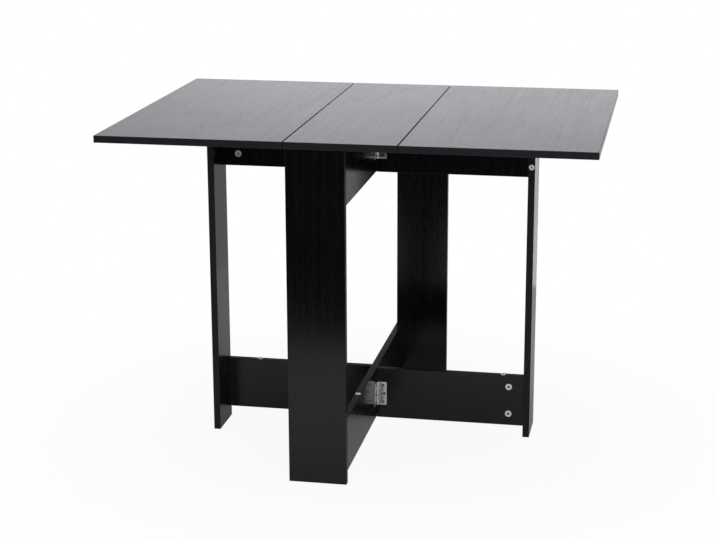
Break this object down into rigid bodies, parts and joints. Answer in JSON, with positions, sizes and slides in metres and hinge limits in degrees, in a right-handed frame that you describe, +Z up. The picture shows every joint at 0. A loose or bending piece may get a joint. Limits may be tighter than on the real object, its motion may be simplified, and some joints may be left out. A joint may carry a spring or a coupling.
{
  "type": "folding dining table",
  "caption": "Black folding gate-leg dining table: a fixed centre board on end legs, hinged drop leaves either side, and swinging gates that fold flat so that the leaves can hang.",
  "frame": {"origin": "on the floor under the middle of the open top", "axes": "+X along the length of the open top to the right leaf, +Y to the back end, +Z up"},
  "size_m": [1.03, 0.76, 0.735],
  "materials": {
    "black_board": "black wood-grain melamine on chipboard, satin",
    "hinge_metal": "nickel-plated steel, satin",
    "cam_zinc": "bright die-cast zinc",
    "dowel_wood": "raw beech",
    "plug_grey": "light grey plastic"
  },
  "bodies": {
    "centre_frame": {"back_leg": "black_board", "centre_top": "black_board", "frame_cam_bolts": "cam_zinc", "frame_cam_locks": "cam_zinc", "frame_dowels": "dowel_wood", "frame_hinge_screws": "hinge_metal", "front_leg": "black_board", "left_gate_lower_hinge_frame_plate": "hinge_metal", "left_gate_lower_hinge_pin": "hinge_metal", "left_gate_upper_hinge_frame_plate": "hinge_metal", "left_gate_upper_hinge_pin": "hinge_metal", "left_leaf_back_hinge_pin": "hinge_metal", "left_leaf_back_hinge_top_plate": "hinge_metal", "left_leaf_front_hinge_pin": "hinge_metal", "left_leaf_front_hinge_top_plate": "hinge_metal", "lower_stretcher": "black_board", "right_gate_lower_hinge_frame_plate": "hinge_metal", "right_gate_lower_hinge_pin": "hinge_metal", "right_gate_upper_hinge_frame_plate": "hinge_metal", "right_gate_upper_hinge_pin": "hinge_metal", "right_leaf_back_hinge_pin": "hinge_metal", "right_leaf_back_hinge_top_plate": "hinge_metal", "right_leaf_front_hinge_pin": "hinge_metal", "right_leaf_front_hinge_top_plate": "hinge_metal", "stretcher_edge_plug": "plug_grey", "upper_centre_rail": "black_board"},
    "left_gate": {"left_gate_cam_bolts": "cam_zinc", "left_gate_cam_locks": "cam_zinc", "left_gate_edge_plugs": "plug_grey", "left_gate_hinge_screws": "hinge_metal", "left_gate_leg": "black_board", "left_gate_lower_hinge_gate_plate": "hinge_metal", "left_gate_lower_rail": "black_board", "left_gate_upper_hinge_gate_plate": "hinge_metal", "left_gate_upper_rail": "black_board"},
    "left_leaf": {"left_leaf": "black_board", "left_leaf_back_hinge_leaf_plate": "hinge_metal", "left_leaf_front_hinge_leaf_plate": "hinge_metal", "left_leaf_hinge_screws": "hinge_metal"},
    "right_gate": {"right_gate_cam_bolts": "cam_zinc", "right_gate_cam_locks": "cam_zinc", "right_gate_edge_plugs": "plug_grey", "right_gate_hinge_screws": "hinge_metal", "right_gate_leg": "black_board", "right_gate_lower_hinge_gate_plate": "hinge_metal", "right_gate_lower_rail": "black_board", "right_gate_upper_hinge_gate_plate": "hinge_metal", "right_gate_upper_rail": "black_board"},
    "right_leaf": {"right_leaf": "black_board", "right_leaf_back_hinge_leaf_plate": "hinge_metal", "right_leaf_front_hinge_leaf_plate": "hinge_metal", "right_leaf_hinge_screws": "hinge_metal"}
  },
  "joints": [
    {"name": "right_gate_swing", "type": "hinge", "parent": "centre_frame", "child": "right_gate", "pos_m": [0.0105, -0.017, 0.36], "axis": [0, 0, -1], "range_deg": [0, 90]},
    {"name": "left_gate_swing", "type": "hinge", "parent": "centre_frame", "child": "left_gate", "pos_m": [-0.0105, 0.017, 0.36], "axis": [0, 0, -1], "range_deg": [0, 90]},
    {"name": "right_leaf_lift", "type": "hinge", "parent": "centre_frame", "child": "right_leaf", "pos_m": [0.1175, 0, 0.717], "axis": [0, -1, 0], "range_deg": [0, 5]},
    {"name": "left_leaf_lift", "type": "hinge", "parent": "centre_frame", "child": "left_leaf", "pos_m": [-0.1175, 0, 0.717], "axis": [0, 1, 0], "range_deg": [0, 5]}
  ]
}
